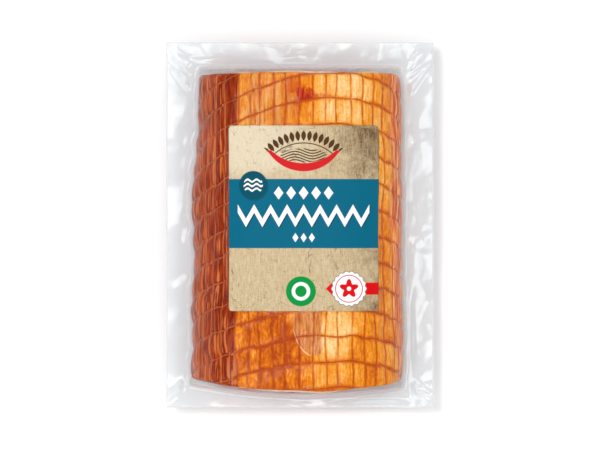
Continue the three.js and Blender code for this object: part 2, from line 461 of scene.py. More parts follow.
def web_row(share, side):
    """One row of a web over the body: x, height over the weld, and girth coordinate."""
    x, z, around = half_section(share, side)
    rise = side * (z - WELD_Z)
    on_dome = rise >= ROOT_RADIUS
    first, last = np.argmax(on_dome), len(x) - 1 - np.argmax(on_dome[::-1])
    length = np.concatenate([[0], np.cumsum(np.hypot(np.diff(x), np.diff(z)))])
    at = np.linspace(length[first], length[last], DOME_COLUMNS)
    dome = [np.interp(at, length, values) for values in (x, rise, around)]

    def root(wall_x, outwards):
        turn = np.linspace(0, math.pi / 2, ROOT_STEPS + 1)[1:]
        return wall_x + outwards * ROOT_RADIUS * (1 - np.cos(turn)), ROOT_RADIUS * (1 - np.sin(turn))

    def fin(root_x, edge_x):
        return np.linspace(root_x, edge_x, SIDE_FIN_COLUMNS + 1)[1:]

    left_x, left_rise = root(dome[0][0], -1)
    right_x, right_rise = root(dome[0][-1], 1)
    left_fin = fin(left_x[-1], POUCH_LOW[0])
    right_fin = fin(right_x[-1], POUCH_HIGH[0])
    flat = np.zeros(SIDE_FIN_COLUMNS)
    row_x = np.concatenate([left_fin[::-1], left_x[::-1], dome[0], right_x, right_fin])
    row_rise = np.concatenate([flat, left_rise[::-1], dome[1], right_rise, flat])
    margin = SIDE_FIN_COLUMNS + ROOT_STEPS
    row_around = np.pad(dome[2], margin, "edge")
    return row_x, row_rise, row_around


def end_profile(fin_rows):
    """The way down a cut end, from the body's last row to the pouch's edge. Each step gives how
    far out it is, how far it has dropped into the top edge, down the wall and round the root,
    and its share of the way across the fin."""
    steps = []
    for turn in np.linspace(0, math.pi / 2, TOP_STEPS + 1)[1:]:
        steps.append((-END_RADIUS * (1 - math.sin(turn)), 1 - math.cos(turn), 0, 0, 0))
    for share in np.linspace(0, 1, WALL_ROWS + 1)[1:]:
        steps.append((WALL_LEAN * share, 1, share, 0, 0))
    for turn in np.linspace(0, math.pi / 2, ROOT_STEPS + 1)[1:]:
        steps.append((WALL_LEAN + ROOT_RADIUS * (1 - math.cos(turn)), 1, 1, math.sin(turn), 0))
    for share in np.linspace(0, 1, fin_rows + 1)[1:]:
        steps.append((WALL_LEAN + ROOT_RADIUS, 1, 1, 1, share))
    return steps


def end_rows(share, side, fin_rows):
    """The rows of a web beyond the foot (share 0) or the head (share 1), from low Y to high."""
    outwards = 1 if share == 1 else -1
    x, rise, around = web_row(share, side)
    skin_y = end_at(onto_loin(x, share), share) + outwards * END_ROOM
    edge_y = POUCH_HIGH[1] if share == 1 else POUCH_LOW[1]
    top = np.minimum(END_RADIUS, rise / 2)
    foot = np.minimum(ROOT_RADIUS, rise / 2)
    rows = []
    for out, rounded, down, turned, across in end_profile(fin_rows):
        height = mix(rise - top * rounded, foot, down) - foot * turned
        y = mix(skin_y + outwards * out, edge_y, across)
        rows.append((x, y, height, around))
    return rows if share == 1 else rows[::-1]


def facets(size, count=7):
    """Seeded creased height made of flat facets about size across, of about unit height."""
    reach = 160
    folds = []
    for turn in np.linspace(0, math.pi, count, endpoint=False) + rng.uniform(-0.2, 0.2, count):
        widths = size * rng.uniform(0.4, 2.2, int(3 * reach / size))
        places = np.cumsum(widths) - reach
        heights = rng.uniform(-1, 1, len(places)) * np.minimum(widths / size, 1)
        folds.append((math.cos(turn), math.sin(turn), places, heights))

    def height(x, y):
        total = 0.0
        for across, up, places, heights in folds:
            total = total + np.interp(across * x + up * y, places, heights)
        return total / math.sqrt(count)

    return height


FIN_WAVE = ripples(52, (1, 1))
FIN_FACETS = facets(15)
FIN_CRUMPLES = facets(5, 5)
BUSY_PLACES = ripples(30, (1, 1))
WAVE_HEIGHT = 0.4
FACET_HEIGHT = 2.6
CRUMPLE_HEIGHT = 0.8
FIN_DROOP = 1.0  # how far a fin hangs at its full reach
FIN_REACH = 14.0  # how far out from the loin a fin has its full wave and droop
FANS_PER_CORNER = 6


def corner_fans():
    """Straight ridges in the fins that fan out from the loin's corners: start, end, height and
    width of each."""
    fans = []
    ends = ((FOOT_SIDES, FOOT_Y, POUCH_LOW[1]), (HEAD_SIDES, HEAD_Y, POUCH_HIGH[1]))
    for sides, y, reach in ends:
        for x, edge in zip(sides, (POUCH_LOW[0], POUCH_HIGH[0])):
            for _ in range(FANS_PER_CORNER):
                start = (mix(x, edge, rng.uniform(0.05, 0.4)), mix(y, reach, rng.uniform(-0.9, 0.5)))
                end = (mix(x, edge, rng.uniform(0.6, 1.0)), mix(y, reach, rng.uniform(0.1, 1.0)))
                height = rng.uniform(0.3, 0.8)
                width = rng.uniform(0.7, 1.4)
                fans.append((np.array(start), np.array(end), height, width))
    return fans


CORNER_FANS = corner_fans()
END_PLEATS = ripples(8, (1, 4))
PLEAT_HEIGHT = 0.9
SIDE_CALM = 3.0  # the fins are smooth this near to the loin's sides
END_CALM = 5.0  # and this near to its ends


def ridges(x, y, creases):
    """Height of straight ridges that fade out past both their ends."""
    total = 0 * x
    for start, end, height, width in creases:
        along = end - start
        size = np.linalg.norm(along)
        share = ((x - start[0]) * along[0] + (y - start[1]) * along[1]) / size**2
        off = ((x - start[0]) * along[1] - (y - start[1]) * along[0]) / size
        fade = smooth(-0.15, 0.2, share) * smooth(1.25, 0.8, share)
        total = total + height * fade * np.exp(-((np.abs(off) / width) ** 1.4))
    return total


def fin_height(x, y, beyond):
    """Height of the welded fin over the weld's level. beyond is the distance out from the loin.
    It is creased most at the right and towards the foot."""
    busy = 0.45 + 0.55 * smooth(10, 50, x) + 0.3 * smooth(-70, -95, y)
    busy = busy * (0.8 + 0.35 * BUSY_PLACES(x, y))
    share = np.clip(beyond / FIN_REACH, 0, 1.3)
    height = WAVE_HEIGHT * FIN_WAVE(x, y) * share - FIN_DROOP * share**2
    height = height + busy * (FACET_HEIGHT * FIN_FACETS(x, y) + CRUMPLE_HEIGHT * FIN_CRUMPLES(x, y))
    return (height + ridges(x, y, CORNER_FANS)) * smooth(0, 5, beyond)


def build_web(side):
    """The front (side 1) or back (side -1) web: its outer side, and how free of the meat the film
    is at each point, 1 on the fins."""
    rows = end_rows(0, side, FIN_ROWS[0])
    margin = 0.4 * END_RADIUS / (HEAD_Y - FOOT_Y)  # the body's rows stop a little short of the rims
    for share in np.linspace(0, 1, BODY_ROWS):
        x, rise, around = web_row(share, side)
        y = along_loin(onto_loin(x, share), mix(margin, 1 - margin, share))
        rows.append((x, y, rise, around))
    rows += end_rows(1, side, FIN_ROWS[1])
    x, y, rise, around = (np.array([row[i] for row in rows]) for i in range(4))

    grid = np.stack([x, y, WELD_Z + side * rise], axis=2)
    normal = normals_of(grid)
    strand = strand_phase(around, y)
    hoop = hoop_phase(around, y)
    inside = smooth(FOOT_Y - 0.5, FOOT_Y + 2.5, y) * smooth(HEAD_Y + 0.5, HEAD_Y - 2.5, y)
    clinging = relief(grid, around, strand, hoop, film=True)
    pleats = PLEAT_HEIGHT * np.maximum(0, 0.6 - np.abs(END_PLEATS(x, rise)) + 0.3 * y / HEAD_Y)
    pleats = pleats * smooth(0.4, 0.9, np.abs(normal[:, :, 1])) * smooth(1.5, 7, rise)
    outwards = side * normal
    grid = grid + outwards * (pleats * (1 - inside))[:, :, None]

    half = sides_at((y - FOOT_Y) / (HEAD_Y - FOOT_Y))[1]
    beyond_side = np.abs(x - sides_at(0.5)[0]) - half - SIDE_CALM
    beyond_end = np.maximum(FOOT_Y - y, y - HEAD_Y) - END_CALM
    beyond = np.maximum.reduce([beyond_side, beyond_end, 0 * x])
    # The film follows the meat down to the weld, and the fin's root moves out with it.
    sideways = np.stack([np.sign(x), 0 * x, 0 * x], axis=2)
    follow = np.where((rise < ROOT_RADIUS)[:, :, None], sideways, outwards)
    grid = grid + follow * (clinging * inside * smooth(8, 0, beyond))[:, :, None]
    on_fin = smooth(1.5, 0, rise)
    grid[:, :, 2] += fin_height(x, y, beyond) * on_fin
    grid[:, :, 2] += side * (WEB_GAP / 2 + FILM_THICKNESS)
    grid[:, :, 2] = np.maximum(grid[:, :, 2], LEAST_Z)
    steep = smooth(0.6, 0.2, np.abs(normal[:, :, 2]))
    return grid, np.maximum.reduce([smooth(9, 0, rise), 0.5 * (1 - inside), 0.3 * steep])


def grid_faces(row_count, column_count, flip):
    faces = []
    for row in range(row_count - 1):
        for column in range(column_count - 1):
            a = row * column_count + column
            face = (a, a + 1, a + 1 + column_count, a + column_count)
            faces.append(face[::-1] if flip else face)
    return faces


def sheet_object(name, grid, thickness, flip=False, attributes=None):
    """A closed thin sheet whose outer side is the grid."""
    faces = grid_faces(grid.shape[0], grid.shape[1], flip)
    piece = mesh_object(name, grid.reshape(-1, 3), faces, attributes=attributes)
    solid = piece.modifiers.new("thickness", "SOLIDIFY")
    solid.thickness = thickness * MM
    solid.offset = -1
    return piece


# ---- The label ----

LABEL_THICKNESS = 0.2
LABEL_CORNER = 1.6
LABEL_GAP = 0.1
LABEL_MIDDLE = (LABEL_LOW + LABEL_HIGH) / 2
LABEL_COLUMNS = 111
LABEL_ROWS = 135


def build_label():
    """The label's outer side, laid on the film."""
    grid = np.empty((LABEL_ROWS, LABEL_COLUMNS, 3))
    for column, x in enumerate(np.linspace(LABEL_LOW[0], LABEL_HIGH[0], LABEL_COLUMNS)):
        short = LABEL_CORNER - min(LABEL_CORNER, x - LABEL_LOW[0], LABEL_HIGH[0] - x)
        rounding = LABEL_CORNER - math.sqrt(max(0, LABEL_CORNER**2 - short**2))
        grid[:, column, 0] = x
        grid[:, column, 1] = np.linspace(LABEL_LOW[1] + rounding, LABEL_HIGH[1] - rounding, LABEL_ROWS)
    x, y = grid[:, :, 0], grid[:, :, 1]
    around = np.empty_like(x)
    for row in range(LABEL_ROWS):
        share = (y[row].mean() - FOOT_Y) / (HEAD_Y - FOOT_Y)
        film_x, film_z, film_around = half_section(share, 1)
        grid[row, :, 2] = np.interp(x[row], film_x, film_z)
        around[row] = np.interp(x[row], film_x, film_around)
    height = relief(grid, around, strand_phase(around, y), hoop_phase(around, y), film=True)
    height = height + WEB_GAP / 2 + FILM_THICKNESS + LABEL_GAP + LABEL_THICKNESS
    return grid + normals_of(grid) * height[:, :, None]


# ---- Materials ----


def linear(*levels):
    """A colour from its 0 to 255 screen levels."""
    shares = [level / 255 for level in levels]
    return tuple(s / 12.92 if s <= 0.04045 else ((s + 0.055) / 1.055) ** 2.4 for s in shares) + (1.0,)


class Shader:
    """The nodes of a material or of the world. Most methods make a node and give the socket that
    holds its result."""

    def __init__(self, owner):
        owner.use_nodes = True
        self.owner = owner
        self.tree = owner.node_tree
        self.tree.nodes.clear()
        kind = "World" if isinstance(owner, bpy.types.World) else "Material"
        self.output = self.node("ShaderNodeOutput" + kind)

    def node(self, kind, inputs=None, **settings):
        made = self.tree.nodes.new(kind)
        for key, value in settings.items():
            setattr(made, key, value)
        for key, value in (inputs or {}).items():
            self.feed(made.inputs[key], value)
        return made

    def feed(self, socket, value):
        if isinstance(value, bpy.types.NodeSocket):
            self.tree.links.new(value, socket)
        else:
            socket.default_value = value

    def math(self, operation, *values, clamp=False):
        made = self.node("ShaderNodeMath", dict(enumerate(values)), operation=operation)
        made.use_clamp = clamp
        return made.outputs[0]

    def add(self, a, b):
        return self.math("ADD", a, b)

    def times(self, a, b):
        return self.math("MULTIPLY", a, b)

    def absolute(self, value):
        return self.math("ABSOLUTE", value)

    def larger(self, *values):
        most = values[0]
        for value in values[1:]:
            most = self.math("MAXIMUM", most, value)
        return most

    def centred(self, noise, height):
        """Noise from 0 to 1 turned into -height/2 to height/2."""
        return self.times(self.add(noise, -0.5), height)

    def step(self, value, low, high, to_low=0.0, to_high=1.0):
        """A smooth step of value from low to high. low may be above high."""
        if low > high:
            low, high, to_low, to_high = high, low, to_high, to_low
        inputs = {"Value": value, "From Min": low, "From Max": high}
        inputs.update({"To Min": to_low, "To Max": to_high})
        return self.node("ShaderNodeMapRange", inputs, interpolation_type="SMOOTHSTEP").outputs[0]

    def band(self, value, low, high, edge=0.15):
        """1 where value lies between low and high."""
        rising = self.step(value, low - edge, low + edge)
        falling = self.step(value, high + edge, high - edge)
        return self.math("MINIMUM", rising, falling)

    def distance(self, x, y, centre, radii=(1, 1)):
        """Distance from a centre, as a share of the radii."""
        across = self.times(self.add(x, -centre[0]), 1 / radii[0])
        up = self.times(self.add(y, -centre[1]), 1 / radii[1])
        return self.math("SQRT", self.add(self.times(across, across), self.times(up, up)))

    def disc(self, x, y, centre, radius, edge=0.15):
        """1 inside a circle."""
        return self.step(self.distance(x, y, centre), radius + edge, radius - edge)

    def ramp(self, value, *stops):
        """A colour ramp of stops, each a place from 0 to 1 and a colour."""
        made = self.node("ShaderNodeValToRGB", {"Fac": value})
        marks = made.color_ramp.elements
        while len(marks) < len(stops):
            marks.new(1.0)
        for mark, (at, colour) in zip(marks, stops):
            mark.position = at
            mark.color = colour
        return made.outputs[0]

    def blend(self, share, a, b):
        """Colour a where share is 0, and b where it is 1."""
        made = self.node("ShaderNodeMix", data_type="RGBA")
        self.feed(made.inputs[0], share)
        self.feed(made.inputs[6], a)
        self.feed(made.inputs[7], b)
        return made.outputs[2]

    def vector(self, x, y, z=0.0):
        return self.node("ShaderNodeCombineXYZ", {"X": x, "Y": y, "Z": z}).outputs[0]

    def parts(self, vector):
        return self.node("ShaderNodeSeparateXYZ", {"Vector": vector}).outputs

    def place(self):
        """Object coordinates in millimetres."""
        coordinates = self.node("ShaderNodeTexCoord").outputs["Object"]
        scaled = self.node("ShaderNodeVectorMath", {0: coordinates, "Scale": 1 / MM}, operation="SCALE")
        return scaled.outputs[0]

    def noise(self, vector, size, detail=2.0, roughness=0.5, stretch=None, distortion=0.0):
        """Noise from 0 to 1 whose features are about size across, in the vector's units."""
        if stretch:
            scaled = self.node("ShaderNodeVectorMath", {0: vector, 1: stretch}, operation="DIVIDE")
            vector = scaled.outputs[0]
        inputs = {"Vector": vector, "Scale": 1 / size, "Detail": detail}
        inputs.update({"Roughness": roughness, "Distortion": distortion})
        return self.node("ShaderNodeTexNoise", inputs).outputs[0]

    def bump(self, height, distance, strength):
        inputs = {"Height": height, "Distance": distance * MM, "Strength": strength}
        return self.node("ShaderNodeBump", inputs).outputs[0]

    def principled(self, **inputs):
        """A principled shader. Spaces in the inputs' names are written as underscores."""
        named = {key.replace("_", " "): value for key, value in inputs.items()}
        return self.node("ShaderNodeBsdfPrincipled", named)

    def finish(self, shader):
        self.tree.links.new(shader.outputs[0], self.output.inputs["Surface"])
        return self.owner


# Zones of the fat cap, each with its middle (girth, Y), its reach both ways, and how much paler
# or deeper it is than the rest. The cut of fat under the smoke is uneven.
PALE_ZONES = (
    ((25, 70), (17, 24), 0.27),
    ((-14, 68), (20, 22), -0.17),
    ((20, -60), (10, 15), 0.32),
    ((47, 32), (9, 30), 0.14),
    ((20, -84), (9, 7), 0.12),
    ((-18, -74), (19, 26), -0.27),
    ((52, -38), (11, 40), -0.06),
)


def strand_near(around):
    return round((around / GIRTH + 0.5) * STRANDS + STRAND_SHIFT)


FAT_STRAND = strand_near(-36)  # where lean gives way to fat
BACK_STRAND = strand_near(88)  # and where the fat cap ends again


def meat_material():
    s = Shader(bpy.data.materials.new("smoked_meat"))
    net = s.parts(s.node("ShaderNodeUVMap", uv_map="net").outputs[0])
    skin = s.parts(s.node("ShaderNodeUVMap", uv_map="skin").outputs[0])
    depth = s.node("ShaderNodeAttribute", attribute_name="depth").outputs["Fac"]
    place = s.place()
    around, lengthwise = skin[0], skin[1]

    fine = s.noise(place, 1.5, 3, 0.6, (1, 4, 1))
    fibres = s.noise(place, 1.0, 3, 0.65, (1, 11, 1))
    patches = s.noise(place, 19, 2, 0.5)
    blotches = s.noise(place, 4.0, 4, 0.68, (1, 1.5, 1), 0.8)
    streaks = s.noise(place, 1.5, 2, 0.5, (1, 18, 1))
    cell_at = s.vector(s.math("FLOOR", net[0]), s.math("FLOOR", net[1]))
    cells = s.node("ShaderNodeTexWhiteNoise", {"Vector": cell_at}, noise_dimensions="3D").outputs[0]

    # Distance from the net's lines, in millimetres, wandering a little.
    wobble = s.centred(s.noise(place, 3.2, 2, 0.6), 0.45)

    def from_line(phase, pitch):
        fraction = s.math("FRACT", phase)
        near = s.math("MINIMUM", fraction, s.math("SUBTRACT", 1.0, fraction))
        return s.absolute(s.add(s.times(near, pitch), wobble))

    hoop = from_line(net[1], HOOP_PITCH)
    strand = from_line(net[0], STRAND_PITCH)
    # Where the net's lines run, varying in strength along them. Over the fat they are painted dark as
    # shade in the grooves.
    line_variation = s.noise(place, 8, 2, 0.5)
    hoop_line = s.times(s.step(hoop, 0.8, 0.2), s.step(line_variation, 0.25, 0.5, 0.55, 1.0))
    strand_variation = s.step(s.noise(place, 10, 2, 0.5), 0.3, 0.6, 0.35, 0.95)
    strand_line = s.times(s.step(strand, 0.6, 0.1), strand_variation)
    lines = s.larger(hoop_line, strand_line)
    # Painted shade beside the net's grooves: 0 on the lines and 1 away from them.
    shade = s.math("MINIMUM", s.step(hoop, 0.3, 2.8), s.step(strand, 0.1, 1.5))

    def zone(middle, reach, soft=0.35, ragged=0.5):
        """1 inside a ragged oval of the skin."""
        far = s.add(s.distance(around, lengthwise, middle, reach), s.centred(blotches, ragged))
        return s.step(far, 1 + soft, 1 - soft)

    # The fat cap, from orange-brown to cream.
    level = s.add(s.centred(patches, 0.35), s.centred(cells, 0.20))
    level = s.add(level, s.centred(fibres, 0.88))
    level = s.add(level, s.centred(s.noise(place, 1.0, 3, 0.65, (1, 1.5, 1)), 0.55))
    mottled = s.add(0.65, s.times(zone((-20, -74), (22, 26)), 0.6))
    level = s.add(level, s.times(s.add(blotches, -0.5), mottled))
    for middle, reach, amount in PALE_ZONES:
        level = s.add(level, s.times(zone(middle, reach), amount))
    # Painted shade: the fat is painted deeper in colour near the net's grooves.
    level = s.add(level, s.step(shade, 0.0, 0.9, 0.30, 0.50))
    fat = s.ramp(
        level,
        (0.0, linear(172, 66, 6)),
        (0.28, linear(211, 104, 10)),
        (0.5, linear(231, 139, 24)),
        (0.72, linear(243, 172, 80)),
        (1.0, linear(247, 212, 158)),
    )

    tan = s.times(zone((-22, 70), (17, 22), 0.5), s.step(streaks, 0.5, 0.4, 0.15, 0.7))
    fat = s.blend(tan, fat, s.blend(fibres, linear(206, 138, 66), linear(238, 184, 112)))

    # A browned patch with a pale edge, and a dark red knot with a smear beside it.
    patch_far = s.distance(around, lengthwise, (8, -50), (12.5, 23))
    patch_side = s.step(s.add(around, s.centred(fine, 1.5)), 12.4, 11.2)
    browned_patch = s.times(s.step(patch_far, 1.0, 0.93), patch_side)
    brown = s.blend(s.step(fibres, 0.3, 0.7), linear(166, 80, 34), linear(222, 146, 92))
    fat = s.blend(s.times(browned_patch, s.step(blotches, 0.3, 0.7, 0.95, 0.6)), fat, brown)
    rim_part = s.times(s.step(around, 7, 3), s.step(lengthwise, -56, -60))
    rim = s.times(s.band(patch_far, 0.975, 1.0, 0.015), rim_part)
    fat = s.blend(s.times(rim, 0.6), fat, linear(255, 226, 184))
    smear = s.larger(zone((-4, 77), (5, 4.5), 0.4, 1.2), zone((11, 71.5), (7, 1.6), 0.4, 1.0))
    fat = s.blend(s.times(smear, s.step(fine, 0.35, 0.6, 0.2, 0.75)), fat, linear(206, 84, 20))
    knot = s.times(zone((3, 72.8), (6.2, 3.4), 0.4, 2.0), s.step(fine, 0.34, 0.52, 0.3, 1.0))
    knot_red = s.blend(s.step(streaks, 0.4, 0.6), linear(150, 20, 6), linear(206, 50, 18))
    fat = s.blend(knot, fat, knot_red)

    # Thin dark lines where the net cut in: painted shade in its grooves.
    fat = s.blend(s.times(lines, 0.86), fat, s.blend(line_variation, linear(154, 48, 6), linear(202, 80, 16)))

    # Towards the right the cap thins out, and red lean shows through in streaks.
    thinning = s.add(s.add(around, s.centred(streaks, 8.0)), s.step(lengthwise, -30, -70, 0.0, -4.0))
    reddened = s.step(thinning, 55.5, 58.5)
    red = s.ramp(
        s.add(s.times(streaks, 0.7), s.times(fibres, 0.45)),
        (0.40, linear(142, 26, 2)),
        (0.56, linear(222, 94, 22)),
        (0.70, linear(255, 182, 104)),
    )
    # The net's lines over the red streaks: painted shade in the grooves.
    red = s.blend(s.times(lines, 0.45), red, linear(150, 46, 16))
    fat = s.blend(reddened, fat, red)

    # The lean: mahogany, with orange streaks along the fibres and pale lines under the net.
    lean = s.blend(s.step(fibres, 0.32, 0.68), linear(102, 16, 0), linear(164, 54, 4))
    flank = s.step(s.add(around, s.centred(streaks, 10.0)), -49, -56)
    streaky = s.step(s.add(streaks, s.times(flank, 0.10)), 0.56, 0.72, 0.0, 0.75)
    lean = s.blend(streaky, lean, linear(204, 96, 34))
    hair = s.noise(place, 1.1, 1, 0.3, (1, 50, 1))
    lean = s.blend(s.step(hair, 0.60, 0.66, 0.0, 0.65), lean, linear(226, 130, 74))
    thin = s.larger(s.step(hoop, 0.5, 0.1), s.step(strand, 0.5, 0.05))
    lean = s.blend(s.times(thin, s.step(line_variation, 0.3, 0.6, 0.35, 0.8)), lean, linear(222, 120, 58))
    # Painted shade: the lean is painted darker near the net's grooves.
    lean = s.blend(s.times(s.step(shade, 0.5, 0.0), 0.25), lean, linear(104, 26, 8))

    border = s.add(net[0], s.centred(s.noise(place, 12, 2, 0.5, (1, 2, 1)), 0.35))
    in_fat = s.band(border, FAT_STRAND, BACK_STRAND, 0.06)
    skin_colour = s.blend(in_fat, lean, fat)

    # The cut ends: pink cured meat with seams of fat, a rim of fat round it, browned at the edge.
    x, _, z = s.parts(place)
    marbling = s.noise(place, 6.5, 4, 0.6, (1, 1, 1), 0.8)
    grain = s.noise(place, 1.2, 3, 0.6)
    pink = s.ramp(
        s.add(s.times(marbling, 0.8), s.times(grain, 0.3)),
        (0.36, linear(186, 84, 70)),
        (0.55, linear(214, 122, 102)),
        (0.72, linear(232, 160, 138)),
    )
    seam = s.absolute(s.add(s.noise(place, 34, 1.5, 0.5, distortion=0.3), -0.5))
    seam = s.times(s.step(seam, 0.010, 0.002), s.step(s.noise(place, 15, 2, 0.5), 0.44, 0.6))
    pink = s.blend(s.times(seam, 0.6), pink, linear(240, 196, 168))
    fat_depth = s.add(depth, s.centred(s.noise(place, 16, 3, 0.55), 9.0))
    fat_reach = s.times(s.step(z, 14, 40), s.step(x, -48, -18, 0.0, 9.6))
    rim_fat = s.step(s.add(fat_depth, s.times(fat_reach, -1.0)), 0.4, -0.4)
    cut_fat = s.blend(grain, linear(238, 196, 150), linear(252, 226, 192))
    cut = s.blend(rim_fat, pink, cut_fat)
    cut = s.blend(s.step(depth, 6.0, 2.6, 0.0, 0.45), cut, linear(206, 112, 52))
    browned = s.step(s.add(depth, s.centred(fine, 1.6)), 1.2, 2.6)
    colour = s.blend(browned, skin_colour, cut)

    height = s.add(s.times(fibres, 0.5), s.times(fine, 0.35))
    height = s.add(height, s.times(blotches, 0.7))
    height = s.add(height, s.times(lines, -0.6))
    normal = s.bump(height, 0.35, 0.7)
    roughness = s.step(blotches, 0.3, 0.7, 0.34, 0.52)
    shader = s.principled(
        Base_Color=colour,
        Roughness=roughness,
        Normal=normal,
        Specular_IOR_Level=0.06,
        Subsurface_Weight=0.08,
        Subsurface_Radius=(1.0, 0.4, 0.2),
        Subsurface_Scale=2.0 * MM,
    )
    return s.finish(shader)


def film_material():
    """Clear film. Over the meat it clings and hardly shows; the free fins are a little milky."""
    s = Shader(bpy.data.materials.new("clear_film"))
    facing = s.node("ShaderNodeLayerWeight", {"Blend": 0.5}).outputs["Facing"]
    outer = s.math("SUBTRACT", 1.0, s.node("ShaderNodeNewGeometry").outputs["Backfacing"])
    free = s.node("ShaderNodeAttribute", attribute_name="free").outputs["Fac"]
    grazing = s.times(s.math("POWER", facing, 5.0), s.step(free, 0.0, 1.0, 0.4, 0.9))
    mirror = s.times(s.add(grazing, s.step(free, 0.0, 1.0, 0.018, 0.08)), outer)
    place = s.place()
    crackle = s.noise(place, 3.0, 3, 0.6, distortion=0.4)
    normal = s.bump(crackle, 0.12, 0.35)
    clear = s.node("ShaderNodeBsdfTransparent", {"Color": (0.982, 0.987, 0.989, 1)})
    haze = s.node("ShaderNodeBsdfDiffuse", {"Color": (0.88, 0.89, 0.90, 1)})
    x, y, _ = s.parts(place)
    from_edge = s.larger(
        s.add(s.absolute(x), -POUCH_HIGH[0]),
        s.add(s.absolute(y), -POUCH_HIGH[1]),
    )
    milk = s.add(s.step(free, 0.5, 1.0, 0.0, 0.19), s.step(from_edge, -0.9, -0.2, 0.0, 0.25))
    body = s.node("ShaderNodeMixShader", {0: milk, 1: clear.outputs[0], 2: haze.outputs[0]})
    gloss = s.node("ShaderNodeBsdfGlossy", {"Color": (1, 1, 1, 1), "Roughness": 0.10, "Normal": normal})
    return s.finish(s.node("ShaderNodeMixShader", {0: mirror, 1: body.outputs[0], 2: gloss.outputs[0]}))


ART_WIDTH = 83.0  # the label's art is laid out on a label this wide


def label_material():
    """Aged fibre paper with a teal band and plain ornaments, and no lettering."""
    s = Shader(bpy.data.materials.new("label_paper"))
    place = s.place()
    across, along, _ = s.parts(place)
    scale = ART_WIDTH / (LABEL_HIGH[0] - LABEL_LOW[0])
    u = s.times(s.add(across, -LABEL_MIDDLE[0]), scale)  # from the label's middle
    v = s.times(s.add(along, -LABEL_LOW[1]), scale)  # up from its lower edge

    # The paper, darker and more stained towards the upper right.
    upright = s.noise(place, 0.6, 3, 0.7, (1, 9, 1))
    level = s.noise(place, 0.7, 3, 0.7, (4, 1, 1))
    grain = s.add(s.times(upright, 0.65), s.times(level, 0.35))
    stains = s.noise(place, 13, 4, 0.65, distortion=1.2)
    worn = s.add(s.step(u, 0, 44, 0.0, 0.45), s.times(s.step(u, -4, 30), s.step(v, 68, 100, 0.0, 0.25)))
    worn = s.add(worn, s.centred(stains, 1.2))
    pale = s.blend(s.step(grain, 0.30, 0.70), linear(176, 152, 116), linear(208, 188, 152))
    sunned = s.times(s.step(v, 70, 84), s.step(s.add(u, s.centred(stains, 60)), 14, -26))
    pale = s.blend(s.times(sunned, 0.55), pale, linear(228, 216, 192))
    brown = s.blend(s.step(grain, 0.38, 0.62), linear(92, 70, 46), linear(150, 122, 88))
    paint = s.blend(s.step(worn, 0.15, 0.85), pale, brown)

    def lay(share, colour):
        """Put a colour over the paint where share is 1."""
        nonlocal paint
        paint = s.blend(share, paint, colour)

    crack = s.absolute(s.add(s.noise(place, 26, 3, 0.6, (1, 1.6, 1), 1.5), -0.5))
    flecks = s.step(s.noise(place, 1.5, 3, 0.7, (1, 2, 1)), 0.58, 0.68)
    lay(s.times(flecks, s.step(stains, 0.35, 0.65, 0.15, 0.6)), linear(120, 94, 64))
    torn = s.times(s.step(crack, 0.007, 0.001), s.step(stains, 0.38, 0.6, 0.1, 0.7))
    lay(torn, linear(92, 68, 44))

    ink = linear(78, 50, 24)
    red = linear(200, 30, 34)
    white = linear(236, 236, 234)
    teal = linear(0, 96, 122)
    bright_red = linear(210, 4, 12)

    def angle_about(centre):
        """Angle round a centre from straight up, in radians."""
        return s.math("ARCTAN2", s.add(u, -centre[0]), s.add(v, -centre[1]))

    def repeat(value, pitch):
        """Distance from the nearest whole pitch."""
        fraction = s.math("FRACT", s.add(s.times(value, 1 / pitch), 0.5))
        return s.times(s.absolute(s.add(fraction, -0.5)), pitch)

    # At the top, an arch of leaves over field lines and a red crescent.
    arch = (0.0, 69.5)
    arch_radius = 29.0
    half_leaf = 3.0
    leaf_pitch = 3.3
    from_arch = s.distance(u, v, arch)
    turn = angle_about(arch)
    off_middle = s.times(s.absolute(s.add(from_arch, -arch_radius)), 1 / half_leaf)
    leaf = s.math("SUBTRACT", 1.0, s.math("POWER", off_middle, 2.0))
    side = s.times(repeat(turn, leaf_pitch / arch_radius), arch_radius)
    leaves = s.step(s.add(s.times(leaf, 1.35), s.times(side, -1.0)), -0.1, 0.15)
    leaves = s.times(leaves, s.band(turn, -0.79, 0.79, 0.005))
    rule = s.times(s.band(from_arch, 24.6, 25.2), s.band(turn, -0.72, 0.72, 0.01))
    field = s.step(s.distance(u, v, (0, 87.5), (13, 3.9)), 1.02, 0.98)
    waves = s.add(v, s.times(s.math("SINE", s.times(u, 0.32)), 1.3))
    field = s.times(field, s.step(repeat(waves, 1.55), 0.45, 0.25))
    lay(s.larger(leaves, rule, field), ink)
    crescent = s.times(s.disc(u, v, (0, 102), 23.5), s.step(s.distance(u, v, (0, 109.5)), 26.3, 26.6))
    crescent = s.times(crescent, s.step(v, 90.5, 90.2))
    lay(crescent, red)

    # The teal band, with diamonds, a bold zigzag and smaller diamonds in white.
    lay(s.band(v, 35.4, 74.2), teal)

    def zigzag(shift_x, shift_y):
        x = s.add(u, -shift_x)
        y = s.add(v, -shift_y)
        slope = s.times(s.add(repeat(x, 9.25), -2.31), 1.75)
        stroke = s.step(s.absolute(s.add(s.add(y, -53.6), slope)), 2.5, 2.2)
        return s.times(stroke, s.band(x, -37, 37))

    def diamonds(pitch, half_width, half_height, middle, reach):
        corner = s.times(repeat(u, pitch), 1 / half_width)
        rise = s.times(s.absolute(s.add(v, -middle)), 1 / half_height)
        return s.times(s.step(s.add(corner, rise), 1.05, 0.95), s.band(u, -reach, reach))

    lay(zigzag(0.5, -0.6), linear(0, 62, 84))
    lay(zigzag(0, 0), white)
    lay(diamonds(7.0, 2.7, 3.7, 66.4, 17.5), white)
    lay(diamonds(4.6, 1.7, 2.6, 41.3, 6.9), white)

